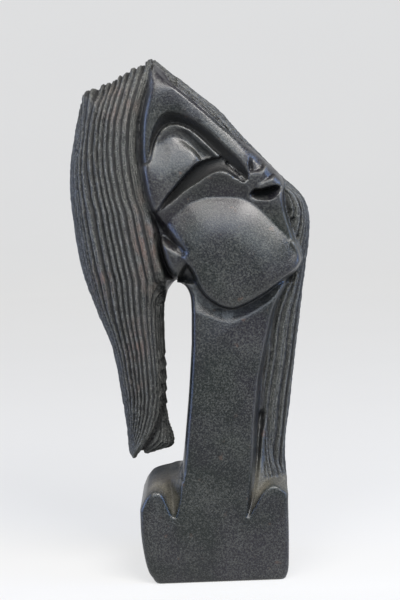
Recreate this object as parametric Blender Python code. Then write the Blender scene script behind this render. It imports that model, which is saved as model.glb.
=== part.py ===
"""A woman's head in dark stone, tipped back under long carved hair, on a long neck and a block base.

The carving is one stone. Its form is a field worked out from outlines across and up the block and from
how deep the front and the back stand at each place. The field's skin becomes the mesh, the hair's flutes
are then cut into that skin, and a Decimate modifier leaves the facets that the form needs.

The outlines are drawn along the block's own axis, as shares of its height: 500 units from the underside
to the crown. Across runs to the viewer's right, up runs to the crown, and depth grows away from the
viewer, whose side is the front.
"""

import math

import bpy
import numpy as np
import openvdb

# Driving sizes, in metres.
HEIGHT = 0.500
BASE_WIDTH = 0.143
BASE_DEPTH = 0.104
BASE_EDGE = 0.0065
FOOT_EDGE = 0.0045
HEAD_BACK = 0.050
NOSE_REACH = 0.067
FLUTE_DEPTH = 0.0042
CELL = 0.0020
LEAN = math.radians(2.2)
AXIS_SHIFT = -0.006
FLUTES_LEFT = 13
FLUTES_RIGHT = 30
FACETS = 9800
SEED = 7
NEAR_ZERO = 1e-6

# The same sizes in units of the carving's height.
UNIT = HEIGHT / 500
HALF_BASE = BASE_WIDTH / UNIT / 2
FRONT = BASE_DEPTH / UNIT / 2
BACK = HEAD_BACK / UNIT
NOSE = NOSE_REACH / UNIT
BLOCK_EDGE = BASE_EDGE / UNIT

# Levels and depths that several forms share.
SHOULDER_TOP = 97
ARCH_TOP = 289
GAP_MIDDLE = -36
HEAD_CORE = 38
NECK_BACK = 26
LEAST_FRONT = 4
ROUNDNESS = 2.3

# How far the face's forms stand out or are cut in.
FACE_TILT = 0.11
CHEEK_SWELL = 12
EYE_SWELL = 10
SLIT_DEPTH = 15
BROW_DEPTH = 13
MOUTH_DEPTH = 9
SCOOP_DEPTH = 8

# Silhouette, counter-clockwise from the crown: (across, up).
CROWN_LEFT = [(-59, 500), (-66, 496), (-72, 492), (-80, 490), (-84, 486), (-92, 482.5), (-97, 478),
              (-106, 476), (-111, 471.5), (-120, 471), (-126, 465)]
HAIR_LEFT = [(-132, 440), (-139, 393), (-137, 350), (-129, 301), (-116, 262), (-100, 222), (-92, 181),
             (-86, 141), (-84, 120), (-80, 111)]
LOCK_TIP = [(-75, 113), (-72, 117), (-66, 115), (-51, 120), (-43, 122), (-39, 127), (-40, 134)]
LOCK_RIGHT = [(-45, 148), (-46, 170), (-46, 198), (-48, 220), (-49, 245), (-48.5, 265)]
ARCH = [(-45, 278), (-39, 286), (-33, 288.5), (-27, 284), (-23, 275), (-22, 262)]
NECK_LEFT = [(-22, 230), (-23.5, 200), (-25, 175), (-27, 150), (-29, 125), (-31, 106)]
SHOULDER_LEFT = [(-35, 97.5), (-42, 94), (-52, 91.5), (-61, 88), (-67.5, 80)]
BASE_LEFT = [(-HALF_BASE, 70), (-70.5, 45), (-67, 22), (-63, 8), (-57.5, -1), (-57, -18)]
BASE_RIGHT = [(HALF_BASE - 3, -18), (HALF_BASE - 2, 4), (HALF_BASE, 14), (HALF_BASE, 45), (HALF_BASE - 1, 80)]
HAIR_RIGHT = [(71, 100), (70, 128), (74, 168), (79, 218), (84, 267), (88, 300), (91, 335), (89, 357),
              (82, 372), (65, 387), (49, 403), (27, 425), (5, 449), (-19, 468), (-43, 487)]

# The face, counter-clockwise from the crown.
HAIRLINE = [(-57.5, 489), (-61, 475), (-66, 459), (-70, 439), (-71, 412), (-69, 390), (-65, 369),
            (-59, 354), (-51, 342), (-42, 331), (-32, 319)]
JAW = [(-27, 309), (-20, 300), (-15, 288), (-7, 277.5), (5, 269.5), (15, 267), (24, 269.5), (33, 274),
       (47, 283), (62, 295), (74, 304), (78.5, 311)]
MUZZLE = [(76, 320), (71, 333), (66, 347), (62, 362), (61, 374), (62, 383), (60, 390), (54, 397), (46, 402)]
NOSE_RIDGE = [(35, 412), (26, 418.5), (15, 427), (5, 434), (-11, 448), (-28, 462), (-44, 474.5)]
BROW_TOP = [(-61.5, 403), (-60.5, 419), (-57, 433), (-51.5, 443), (-44, 448), (-34, 447), (-24, 443),
            (-11, 434.5), (0, 425.5), (13, 413.5), (25, 402), (31, 393)]
LID_RIM = [(29, 386), (25, 389.5), (15, 397.5), (5, 407), (-7, 418), (-18, 428.5), (-28, 434.5), (-37, 437),
           (-44.5, 435), (-51, 429.5), (-56.5, 418), (-60.5, 402)]
LID_FOOT = [(-53.5, 356.5), (-44, 371), (-36, 380.5), (-28, 390), (-18, 400), (-8, 405), (3, 407)]
EYE_EDGE = [(-50, 422), (-47, 424), (-40.5, 425.5), (-34, 424), (-27, 420), (-19.5, 413), (-13.5, 405.5),
            (-12, 402)]
LID_END = [(5, 407), (15, 397.5), (26, 388)]
CHEEK_RIM = [(-53.5, 355.5), (-41, 365), (-28, 376), (-15, 384.5), (-6, 390.5), (2, 394), (10, 393.5),
             (18, 388.5), (28, 383)]
CHEEK_DOME = [(-47, 341), (-40, 349), (-31, 357), (-24, 363), (-11, 368), (5, 369.5), (21, 368.5),
              (32, 364.5), (43, 356), (54, 345), (66, 333), (75, 320)]
MOUTH_HOLLOW = [(33, 411), (29.5, 400), (29.5, 390), (28, 381), (31, 373), (38, 368), (52, 368), (60, 376),
                (64, 384), (60, 392), (48, 402)]
NOSE_TIP = [(33, 410), (33, 401.5), (34.3, 395.8)]
NOSTRIL = [(33, 410), (36.5, 407.5), (45.5, 400), (42.7, 395.2), (40.6, 392.6), (36.4, 394.2), (34.3, 395.8)]
PHILTRUM = [(31, 391), (29.1, 384.2), (27, 378.4)]
PHILTRUM_FACET = [(31.7, 393), (37, 393), (42.7, 395.2), (40.7, 386.8), (37.5, 378.9), (31.2, 373.6),
                  (27, 378.4), (29.1, 384.2)]
UPPER_LIP = [(47, 399.5), (42.6, 392.7), (40, 385.4), (38.4, 379.6)]
UPPER_LIP_FACET = [(45.7, 399.9), (49.5, 401), (54, 396), (52.6, 391.6), (51, 390.1), (45.8, 386.4),
                   (40.5, 382.7), (38.4, 379.6), (40, 385.4), (42.6, 392.7)]
LOWER_LIP = [(38.4, 378.5), (42.6, 382.7), (46.8, 385.4), (51, 387.4), (55.2, 390.6)]
LOWER_LIP_FACET = [(38.4, 378.5), (42.6, 382.7), (46.8, 385.4), (51, 387.4), (55.2, 390.6), (58.4, 389.5),
                   (60.8, 386.4), (61.6, 382.7), (59.5, 380.4), (55.3, 380.9), (49, 379.6), (42.7, 378)]
LIP_SHADOW = [(31.1, 373), (36.7, 376.1), (43, 377.5), (49.4, 379.2), (55.7, 380.4), (60, 379.6),
              (57.9, 376.7), (54.7, 374), (52.6, 371.4), (43.6, 370.4), (35.6, 371.4)]
SCOOP_CREASE = [(-31, 268), (-18, 262.5), (-4, 256.5), (6, 253), (16, 252), (28, 257), (40, 264), (52, 272),
                (62, 281)]
EAR = [(-49.5, 330), (-51, 324), (-47.5, 311), (-43, 301), (-37.5, 292.5), (-33, 296.5), (-28.5, 304),
       (-24, 310), (-25, 320), (-40, 325)]
EAR_CREVICE = [(-54, 334), (-52.5, 322), (-49, 309), (-44.5, 299), (-39, 290)]
EAR_CREASE = [(-47, 328), (-39, 323), (-31.5, 318)]

# Where the lock's main tuft folds over the second one behind it.
TUFT_FOLD = [(-73, 114), (-66, 127), (-57, 143), (-50, 160), (-46, 178)]
LOCK_INNER = TUFT_FOLD + [(-46, 198), (-46, 265), (-46, 290)] + HAIRLINE[:8]
LOCK_OUTER = HAIR_LEFT[::-1] + [(-126, 465)]
LOCK_EDGE = [(-30, 100), (-40, 170), (-46, 230), (-47, 290)] + HAIRLINE[:8]
PARTING = [(-33, 283), (-38, 400), (-50, 470), (-58, 500)]

# The neck's right edge, from the notch at the shoulder up to under the jaw.
NECK_RIGHT = [(31, 63), (33.5, 92), (36, 125), (37, 155), (39, 180), (41, 200), (45, 222), (49, 242),
              (54, 264), (62, 282), (72, 300)]
HAIR_SHORE = NECK_RIGHT[:-1] + [(72, 297), (78.5, 311)] + MUZZLE + NOSE_RIDGE + [(-58, 500)]
NECK_FOOT_LEFT = [(-36, 120), (-31.5, 106), (-32.5, 86), (-35.5, 70), (-38, 63)]
FLARE = [(32, 62), (36, 72), (39, 81), (42.5, 100), (45, 120), (47, 140), (50, 158)]
BLOCK_AROUND = [(-90, 90), (-90, -40), (90, -40), (90, 80)]
SHOULDER_FRONT_LEFT = [(-38, 63), (-42, 67), (-45.5, 75), (-49.5, 84), (-54, 89), (-60, 90.5), (-70, 90)]
SHOULDER_FRONT_RIGHT = [(31, 63), (36, 70), (41, 79), (46, 88.5), (52, 94.5), (58, 95.5), (66, 91), (78, 80)]


def spline(points, steps=4):
    """A smooth curve through the points."""
    p = np.asarray(points, float)
    p = np.vstack([2 * p[0] - p[1], p, 2 * p[-1] - p[-2]])
    t = np.linspace(0, 1, steps, endpoint=False)[:, None]
    spans = [0.5 * (2 * b + (c - a) * t + (2 * a - 5 * b + 4 * c - d) * t**2 + (3 * b - a - 3 * c + d) * t**3)
             for a, b, c, d in zip(p, p[1:], p[2:], p[3:])]
    return np.vstack(spans + [p[-2]])


def distance(curve, x, z):
    """How far each place is from a curve."""
    nearest = np.full(x.shape, np.inf)
    for (ax, az), (bx, bz) in zip(curve[:-1], curve[1:]):
        ux, uz = bx - ax, bz - az
        t = np.clip(((x - ax) * ux + (z - az) * uz) / (ux * ux + uz * uz + 1e-12), 0, 1)
        nearest = np.minimum(nearest, (x - ax - t * ux) ** 2 + (z - az - t * uz) ** 2)
    return np.sqrt(nearest)


def inside(outline, x, z):
    """How far each place is inside a closed outline, negative outside it."""
    ring = np.vstack([outline, outline[:1]])
    crossings = np.zeros(x.shape, bool)
    for (ax, az), (bx, bz) in zip(ring[:-1], ring[1:]):
        spans = (az > z) != (bz > z)
        rise = bz - az if bz != az else 1.0
        crossings ^= spans & (x < ax + (z - az) / rise * (bx - ax))
    return np.where(crossings, 1.0, -1.0) * distance(ring, x, z)


def ease(t):
    t = np.clip(t, 0, 1)
    return t * t * (3 - 2 * t)


def dome(t):
    """A quarter round: 0 at the rim, 1 from t = 1 on."""
    return np.sqrt(1 - (1 - np.clip(t, 0, 1)) ** 2)


def swell(t):
    """Rise from 0 to 1 whose slope falls evenly, for broad soft forms."""
    return 1 - (1 - np.clip(t, 0, 1)) ** 2


def bell(d, width):
    return np.exp(-((d / width) ** 2))


def across_at(curve, z):
    """Where a curve that climbs steadily stands at each height."""
    points = np.asarray(sorted(curve, key=lambda p: p[1]), float)
    return np.interp(z, points[:, 1], points[:, 0])


def soften(heights):
    """The heights with their steps worn, as by one pass of fine paper."""
    for axis in (0, 1):
        before, after = np.roll(heights, 1, axis), np.roll(heights, -1, axis)
        heights = (before + 2 * heights + after) / 4
    return heights


def silhouette():
    parts = [CROWN_LEFT, HAIR_LEFT, LOCK_TIP, LOCK_RIGHT, ARCH, NECK_LEFT, SHOULDER_LEFT, BASE_LEFT,
             BASE_RIGHT, HAIR_RIGHT]
    return np.vstack([spline(part) for part in parts])


def facet(outline, ridge, top, fall, x, z):
    """A flat cut facet: highest along its ridge, falling away from it, with steep walls round its outline."""
    outside = np.maximum(-inside(np.array(outline + outline[:1], float), x, z), 0)
    return top - fall * distance(np.array(ridge, float), x, z) - 4.0 * outside


def face_front(x, z):
    """The polished face: one tilted plane with the brow, lid, eye slit, cheek and mouth cut into it."""
    ridge = distance(spline(MUZZLE + NOSE_RIDGE), x, z)
    rim = distance(spline(HAIRLINE), x, z)
    wall = 8.5 * (1 - ease(rim / 5)) + 3.5 * (1 - swell((rim - 3) / 8))
    height = NOSE - FACE_TILT * ridge - wall * ease((490 - z) / 30)
    along_nose = ease((x + 45) / 60) * ease((z - 380) / 20)
    height -= (0.36 * np.maximum(20 - ridge, 0) - 3.6) * along_nose

    cheek = inside(np.vstack([spline(CHEEK_DOME), spline(JAW[::-1])]), x, z)
    to_dome = distance(spline(CHEEK_DOME), x, z)
    to_jaw = distance(spline(JAW), x, z)
    swelling = CHEEK_SWELL * swell(to_dome / 40) + dome(to_dome / 3) + 2 * dome(to_jaw / 14) - 6
    height += np.where(cheek > 0, swelling, -3.5 * bell(to_dome, 10) * (z > 330))

    lid = inside(np.vstack([spline(LID_RIM), [(-80, 395), (-80, 350)], spline(LID_FOOT)]), x, z)
    from_rim = distance(spline(LID_RIM), x, z)
    valley = 1.5 + 5.0 * ease((x + 45) / 20)
    eye = np.vstack([spline(EYE_EDGE), spline(LID_FOOT[:-2])[::-1], [(-80, 350), (-80, 422)]])
    within = distance(spline(EYE_EDGE), x, z)
    within = within**2 / (within + 0.01 + 9 * ease((-20 - x) / 15))
    eyeball = (valley - 1.5) * dome(within / 3) - valley + EYE_SWELL * swell(within / 34)
    relief = np.where(inside(eye, x, z) > 0, eyeball, -valley * ease(from_rim / 7))
    relief += 0.8 * bell(from_rim, 1.5)
    height += np.where(lid > 0, (relief - 2.0) * ease(lid / 0.6), 0)

    upper = distance(spline(LID_FOOT), x, z)
    lower = distance(spline(CHEEK_RIM), x, z)
    slit = inside(np.vstack([spline(LID_FOOT), LID_END, spline(CHEEK_RIM[::-1])]), x, z)
    slope = SLIT_DEPTH * (lower / (0.6 * upper + lower + NEAR_ZERO)) ** 0.45 * ease((upper + lower) / 8)
    slope = np.maximum(slope, 5.0 * ease((x + 2) / 10))
    height -= np.where(slit > 0, slope * ease(slit / 1.0), 0)
    height += np.where((slit <= 0) & (lid <= 0), 1.8 * bell(lower, 3.0), 0)

    brow = inside(np.vstack([spline(BROW_TOP), spline(LID_RIM)]), x, z)
    above, below = distance(spline(BROW_TOP), x, z), distance(spline(LID_RIM), x, z)
    groove = BROW_DEPTH * (above / (above + below + NEAR_ZERO)) ** 0.7 * ease((above + below) / 5)
    height -= np.where(brow > 0, groove, 0)

    hollow = inside(spline(MOUTH_HOLLOW + MOUTH_HOLLOW[:1]), x, z)
    plane = NOSE - FACE_TILT * ridge
    floor = height - MOUTH_DEPTH * ease(hollow / 3.0)
    floor = np.maximum(floor, facet(NOSTRIL, NOSE_TIP, plane - 3.5, 0.30, x, z))
    floor = np.maximum(floor, facet(PHILTRUM_FACET, PHILTRUM, plane + 0.5, 0.15, x, z))
    floor = np.maximum(floor, facet(UPPER_LIP_FACET, UPPER_LIP, plane + 1.0, 0.60, x, z))
    floor = np.maximum(floor, facet(LOWER_LIP_FACET, LOWER_LIP, plane + 1.5, 0.30, x, z))
    height = np.where(hollow > 0, floor, height)
    height -= 10.0 * ease(inside(spline(LIP_SHADOW + LIP_SHADOW[:1]), x, z) / 1.6)
    return height


def neck_front(x, z):
    """The flat front that the neck and the block share, with a notch cut down behind each shoulder."""
    frame = np.vstack([spline(SHOULDER_FRONT_RIGHT)[::-1], spline(NECK_RIGHT), [(72, 330), (GAP_MIDDLE, 330)],
                       NECK_FOOT_LEFT[:-1], spline(SHOULDER_FRONT_LEFT), BLOCK_AROUND])
    flat = inside(frame, x, z)
    jaw, crease = distance(spline(JAW), x, z), distance(spline(SCOOP_CREASE), x, z)
    under = inside(np.vstack([spline(SCOOP_CREASE), spline(JAW[::-1])]), x, z) > 0
    scoop = np.where(under, SCOOP_DEPTH * crease / (jaw + crease + NEAR_ZERO), 0)
    scoop = np.where(z > ARCH_TOP, SCOOP_DEPTH, scoop)
    neck = np.minimum(distance(spline(NECK_RIGHT), x, z), distance(spline(NECK_FOOT_LEFT), x, z))
    lobe = [distance(spline(curve), x, z) for curve in (SHOULDER_FRONT_LEFT, SHOULDER_FRONT_RIGHT)]
    lobe = np.minimum(*lobe) * (3.0 + 9.0 * ease((z - 84) / 8) * np.where(x < 0, ease((-50 - x) / 8), 1))
    wall = np.where(flat < 0, np.minimum(neck * np.interp(z, [95, 125], [2.6, 5.0]), lobe), 0)
    return FRONT - scoop - wall - 1.5 * (1 - np.clip(flat / 3, 0, 1)) ** 2 * (z > 64)


def hair_front(x, z):
    """The hair's own front: the big fall and its lock on the left, the strip behind the nose and the fall
    behind the neck on the right."""
    hairline = across_at(LOCK_EDGE, z)
    fold = x - across_at(TUFT_FOLD + [(-30, 190)], z)
    fall = np.interp(z, [100, 125, 200, 300, 350], [22, 32, 43, 51, FRONT + 2])
    fall = fall - (9 * ease(fold / 3) + 4 * bell(fold, 2.5)) * ease((190 - z) / 25)
    left = fall - 5.0 * np.maximum(x - hairline, 0)
    left -= 5.0 * bell(distance(spline(HAIRLINE), x, z), 5.0)

    behind = x - across_at(HAIR_SHORE, z)
    fall = np.interp(z, [80, 100, 140, 200, 260, 300, 340, 380, 420], [16, 19, 22, 24, 28, 34, 45, 55, 61])
    crack = np.interp(z, [60, 95, 140, 300, 345, 385, 420], [2, 5, 14, 14, 9, 4, 3])
    right = fall - crack * bell(behind - 1.5, 3.0)
    flare = np.interp(z, [62, 80, 100, 120, 145, 165], [50, 45, 39, 33, 27, 22])
    away = x - across_at(FLARE, z)
    flare -= np.where(away > 0, np.interp(z, [90, 120], [0.35, 1.0]), 1.8) * np.abs(away)
    beside = ease((165 - z) / 20) * (away < 0)
    right = np.where(z > 60, np.maximum(right * (1 - beside), np.where(z < 165, flare, 0)), right)
    right = np.where(behind > -4, np.maximum(right, 8), -BACK)
    return np.maximum(left, right)


def fronts(x, z):
    """How far the front stands before the middle, over the whole carving."""
    core = np.where((z > ARCH_TOP - 6) & (x < 20), HEAD_CORE, -BACK)
    ear = inside(spline(EAR + EAR[:1]), x, z)
    ear = 50 + 7 * dome(ear / 7) + 0.25 * (x + 40) - 5 * np.maximum(-ear, 0)
    body = np.maximum.reduce([core, hair_front(x, z), np.where(z < 315, neck_front(x, z), -BACK), ear])
    body -= 18 * bell(distance(spline(EAR_CREVICE), x, z), 2.4)
    face = inside(np.vstack([spline(HAIRLINE), spline(JAW), spline(MUZZLE), spline(NOSE_RIDGE)]), x, z)
    front = np.maximum(body, face_front(x, z) - 5.0 * np.maximum(-face, 0))
    front -= 2.5 * bell(distance(spline(EAR_CREASE), x, z), 1.4)
    return np.maximum(front, LEAST_FRONT)


def backs(x, z):
    """How far the back stands behind the middle: hair all over, ending on the shoulders."""
    head = BACK - 7 * bell(x - across_at(PARTING, z), 9) * ease((z - 285) / 40)
    fall = np.interp(z, [95, 130, 200, 300], [FRONT - 2, FRONT - 5, FRONT - 4, BACK])
    hair_edge = np.interp(z, [95, 200, 290], [-16, -12, -20])
    back = np.where(z > ARCH_TOP, head, NECK_BACK + (fall - NECK_BACK) * ease((x - hair_edge) / 9))
    lock = np.interp(z, [100, 125, 200, 300], [20, 30, 42, BACK])
    back = np.where((x < GAP_MIDDLE) & (z < ARCH_TOP), lock, back)
    return np.where(z < SHOULDER_TOP, FRONT, back)


def edges(x, z):
    """How wide the silhouette's rounding is on the front and on the back."""
    left = np.interp(z, [95, 150, 220, 290, 340, 460, 500], [13, 18, 23, 32, 42, 36, 16])
    right_front = np.interp(z, [95, 150, 300, 360, 420, 500], [13, 14, 17, 16, 12, 9])
    right_back = np.interp(z, [95, 150, 300, 500], [20, 26, 34, 26])
    side = np.where(z > ARCH_TOP, ease((x + 62) / 30), x > GAP_MIDDLE)
    front = left + (right_front - left) * side
    back = left + (right_back - left) * side
    neck = (z < ARCH_TOP) & (x > GAP_MIDDLE) & (x < 12)
    base = z < SHOULDER_TOP
    front = np.where(base, BLOCK_EDGE, np.where(neck, 6.0, front))
    back = np.where(base, BLOCK_EDGE, np.where(neck, 12.0, back))
    return front, back


def form(x, y, z):
    """The field: negative inside the stone. x, y and z are grids that broadcast together."""
    xs, zs = x[:, 0, :], z[:, 0, :]
    u = xs * math.cos(LEAN) - zs * math.sin(LEAN)
    v = xs * math.sin(LEAN) + zs * math.cos(LEAN)
    depth_in = inside(silhouette(), u, v)
    front, back = soften(fronts(u, v)), soften(backs(u, v))
    front_edge, back_edge = edges(u, v)
    base = v < SHOULDER_TOP
    front_round = np.where(u > GAP_MIDDLE, np.where(v > ARCH_TOP, 30, 12), front)
    front_round = np.minimum(front, np.where(base, BLOCK_EDGE, front_round))
    back_round = np.minimum(back, np.where(base, BLOCK_EDGE, back))
    stands = np.where(y < 0, front[:, None], back[:, None])
    rounding = np.where(y < 0, front_round[:, None], back_round[:, None])
    rim = np.where(y < 0, front_edge[:, None], back_edge[:, None])
    side = np.maximum(1 - depth_in[:, None] / rim, 0) ** ROUNDNESS
    face = np.maximum(1 - (stands - np.abs(y)) / rounding, 0) ** ROUNDNESS
    foot = np.maximum(1 - (z + 0.8) * UNIT / FOOT_EDGE, 0) ** ROUNDNESS
    field = ((side + face + foot) ** (1 / ROUNDNESS) - 1) * np.minimum(rim, rounding)
    return np.maximum(field, -z)


def skin():
    """The field's surface: points in units and quads."""
    cell = CELL / UNIT
    low = np.array([-150.0, -NOSE - 12, -2.5 * cell])
    high = np.array([125.0, BACK + 12, 512.0])
    counts = np.ceil((high - low) / cell).astype(int)
    axes = [start + cell * np.arange(count, dtype=np.float32) for start, count in zip(low, counts)]
    values = form(axes[0][:, None, None], axes[1][None, :, None], axes[2][None, None, :])
    grid = openvdb.FloatGrid(background=float(values.max()))
    grid.copyFromArray(np.ascontiguousarray(values, np.float32))
    points, quads = grid.convertToQuads(isovalue=0.0)
    return low + cell * points, quads


def normals(points, quads):
    a, b, c, d = (points[quads[:, i]] for i in range(4))
    across = np.cross(c - a, d - b)
    total = np.zeros_like(points)
    for i in range(4):
        np.add.at(total, quads[:, i], across)
    return total / (np.linalg.norm(total, axis=1, keepdims=True) + 1e-12)


def ridges(share, count, rng, wander):
    """Depth of the flutes, 0 on their crests and up to 1 in their grooves, at each share of the way round."""
    widths = rng.uniform(0.6, 1.5, count)
    starts = np.concatenate([[0], np.cumsum(widths)]) / widths.sum()
    depths = rng.uniform(0.45, 1.0, count + 1)
    share = (share + wander) % 1
    flute = np.searchsorted(starts, share, side="right") - 1
    within = (share - starts[flute]) / (starts[flute + 1] - starts[flute])
    groove = 1 - np.abs(np.sin(math.pi * within))
    return groove * (depths[flute] * (1 - within) + depths[flute + 1] * within)


def hair_parts(u, y, v):
    """Where each point is hair: shares from 0 to 1 for the left mass and for the right mass."""
    parting = across_at(PARTING, v)
    left_edge = across_at(LOCK_EDGE, v)
    limit = np.where(y < 0, left_edge, np.where(v > ARCH_TOP, parting, GAP_MIDDLE))
    left = ease((limit + 1.5 - u) / 3) * (v > 100)
    right_edge = across_at(HAIR_SHORE, v)
    back_edge = np.where(v > ARCH_TOP, parting, np.interp(v, [95, 200, 289], [-9, -5, -12]))
    turn = np.interp(v, [100, 260, 320, 400], [8, 0, -25, -40])
    limit = np.where(y < turn, right_edge + 3, back_edge)
    right = ease((u - limit + 1) / 3) * ease((v - SHOULDER_TOP - np.where(y < 0, 0, 2)) / 4)
    polished = (y < 0) & (v < 160) & (np.abs(u - across_at(FLARE, v)) < np.interp(v, [95, 160], [6, 1]))
    right = np.where(polished, 0, right)
    return left, np.where((u > GAP_MIDDLE) | (v > ARCH_TOP), right, 0)


def flutes(points):
    """How deep the hair's grooves are cut at each point."""
    x, y, z = points.T
    u = x * math.cos(LEAN) - z * math.sin(LEAN)
    v = x * math.sin(LEAN) + z * math.cos(LEAN)
    rng = np.random.default_rng(SEED)
    left, right = hair_parts(u, y, v)
    outer = across_at(LOCK_OUTER, v)
    stands = np.interp(v, [100, 125, 200, 300], [17, 27, 39, 46])
    span = across_at(LOCK_INNER, v) - outer + stands
    crown = np.interp(u, [-126, -59], [465, 500])
    over = ease((crown - v) / 45)
    wander = 0.006 * np.sin(v / 31) + 0.004 * np.sin(v / 13 + 1)
    share = (u - outer + stands - np.maximum(stands - np.abs(y), 0) * over) / span
    share = np.minimum(share, 1) + np.maximum(share - 1, 0) * span / 90
    fine = ease((span / FLUTES_LEFT - 2) / 2)
    depth = left * fine * ridges(share, FLUTES_LEFT, rng, wander)
    shore = across_at(HAIR_RIGHT, v)
    share = 0.35 + (y + np.sign(y) * np.maximum(shore - u, 0)) / 230
    depth = np.maximum(depth, right * ridges(share, FLUTES_RIGHT, rng, wander))
    return FLUTE_DEPTH / UNIT * depth


def stone():
    """Dark serpentine, polished on the face and neck."""
    material = bpy.data.materials.new("dark stone")
    material.use_nodes = True
    shader = material.node_tree.nodes["Principled BSDF"]
    shader.inputs["Base Color"].default_value = (0.062, 0.066, 0.070, 1)
    shader.inputs["Roughness"].default_value = 0.38
    shader.inputs["Metallic"].default_value = 0.0
    return material


def carving():
    points, quads = skin()
    points = points - normals(points, quads) * flutes(points)[:, None]
    mesh = bpy.data.meshes.new("stone_woman")
    mesh.from_pydata(points * UNIT + np.array([AXIS_SHIFT, 0, 0]), [], quads)
    mesh.materials.append(stone())
    carved = bpy.data.objects.new("stone_woman", mesh)
    bpy.context.scene.collection.objects.link(carved)
    facets = carved.modifiers.new("facets", "DECIMATE")
    facets.ratio = FACETS / (2 * len(quads))
    facets.use_collapse_triangulate = True


def main():
    for old in list(bpy.data.objects):
        bpy.data.objects.remove(old)
    carving()


main()
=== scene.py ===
"""Looks of the stone woman: a dark serpentine carving, polished on the face and neck, with hair left
rough from the chisel. The detailed piece keeps the form of the plain solid and adds the finer relief.

The outlines are drawn along the block's own axis, as shares of its height: 500 units from the underside
to the crown. Across runs to the viewer's right, up runs to the crown, and depth grows away from the
viewer, whose side is the front.
"""

import math

import bpy
import numpy as np
import openvdb
from mathutils import Euler, Matrix, Vector, noise


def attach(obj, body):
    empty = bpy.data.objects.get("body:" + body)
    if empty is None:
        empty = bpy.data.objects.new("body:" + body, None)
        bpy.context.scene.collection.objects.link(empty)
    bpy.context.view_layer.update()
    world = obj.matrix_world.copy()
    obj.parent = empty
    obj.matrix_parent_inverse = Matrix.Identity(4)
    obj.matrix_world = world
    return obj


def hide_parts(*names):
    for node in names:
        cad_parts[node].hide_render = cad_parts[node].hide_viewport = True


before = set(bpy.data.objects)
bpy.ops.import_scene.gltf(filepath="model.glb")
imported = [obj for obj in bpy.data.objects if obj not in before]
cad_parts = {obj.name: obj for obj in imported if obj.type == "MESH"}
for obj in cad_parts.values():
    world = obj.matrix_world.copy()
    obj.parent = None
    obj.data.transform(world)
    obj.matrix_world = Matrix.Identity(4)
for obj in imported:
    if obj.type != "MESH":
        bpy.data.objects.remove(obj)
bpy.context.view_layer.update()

# Driving sizes, in metres, and the block's lean, as the plain solid has them.
HEIGHT = 0.500
BASE_WIDTH = 0.143
BASE_DEPTH = 0.104
BASE_EDGE = 0.0065
FOOT_EDGE = 0.0045
HEAD_BACK = 0.050
NOSE_REACH = 0.067
FLUTE_DEPTH = 0.0042
AXIS_SHIFT = -0.006
LEAN = math.radians(2.2)

# How finely this piece is made.
CELL = 0.00110
FACETS = 190000
SEED = 7

# Added to divisors that could be zero: the first to lengths, the second to squares and to normals.
NEAR_ZERO = 1e-6
TINY = 1e-12

# The driving sizes in units of the carving's height.
UNIT = HEIGHT / 500
HALF_BASE = BASE_WIDTH / UNIT / 2
FRONT = BASE_DEPTH / UNIT / 2
BACK = HEAD_BACK / UNIT
NOSE = NOSE_REACH / UNIT
BLOCK_EDGE = BASE_EDGE / UNIT

# Levels, depths and the exponent of the rounding, which several forms share.
SHOULDER_TOP = 97
ARCH_TOP = 289
GAP_MIDDLE = -36
HEAD_CORE = 38
NECK_BACK = 26
LEAST_FRONT = 4
ROUNDNESS = 2.3

# The hair's relief. The left mass has more flutes here than in the plain solid.
FLUTES_LEFT = 17
FLUTES_RIGHT = 30
LINE_DEPTH = 1.5
GRAIN_DEPTH = 0.45
CHIP_DEPTH = 1.8
CHIP_STEP = 12.5
CHIPS_LOW = 150
CHIPS_HIGH = 216

# How strongly the skin turns where it gets the full painted highlight of a sharp edge or the full painted
# shade of a crease.
SHARP_TURN = 0.25

# How far the face's forms stand out or are cut in, and how steep the walls beside them are.
FACE_TILT = 0.11
CHEEK_SWELL = 12
EYE_SWELL = 10
SLIT_DEPTH = 15
BROW_DEPTH = 13
MOUTH_DEPTH = 9
SCOOP_DEPTH = 8
LIP_DEPTH = 10
WALL_SLOPE = 5.0

# Silhouette, counter-clockwise from the crown: (across, up).
CROWN_LEFT = [(-59, 500), (-66, 496), (-72, 492), (-80, 490), (-84, 486), (-92, 482.5), (-97, 478),
              (-106, 476), (-111, 471.5), (-120, 471), (-126, 465)]
HAIR_LEFT = [(-132, 440), (-139, 393), (-137, 350), (-129, 301), (-116, 262), (-100, 222), (-92, 181),
             (-86, 141), (-84, 120), (-80, 111)]
LOCK_TIP = [(-75, 113), (-72, 117), (-66, 115), (-51, 120), (-43, 122), (-39, 127), (-40, 134)]
LOCK_RIGHT = [(-45, 148), (-46, 170), (-46, 198), (-48, 220), (-49, 245), (-48.5, 265)]
ARCH = [(-45, 278), (-39, 286), (-33, 288.5), (-27, 284), (-23, 275), (-22, 262)]
NECK_LEFT = [(-22, 230), (-23.5, 200), (-25, 175), (-27, 150), (-29, 125), (-31, 106)]
SHOULDER_LEFT = [(-35, 97.5), (-42, 94), (-52, 91.5), (-61, 88), (-67.5, 80)]
BASE_LEFT = [(-HALF_BASE, 70), (-70.5, 45), (-67, 22), (-63, 8), (-57.5, -1), (-57, -18)]
BASE_RIGHT = [(HALF_BASE - 3, -18), (HALF_BASE - 2, 4), (HALF_BASE, 14), (HALF_BASE, 45), (HALF_BASE - 1, 80)]
HAIR_RIGHT = [(71, 100), (70, 128), (74, 168), (79, 218), (84, 267), (88, 300), (91, 335), (89, 357),
              (82, 372), (65, 387), (49, 403), (27, 425), (5, 449), (-19, 468), (-43, 487)]

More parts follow.
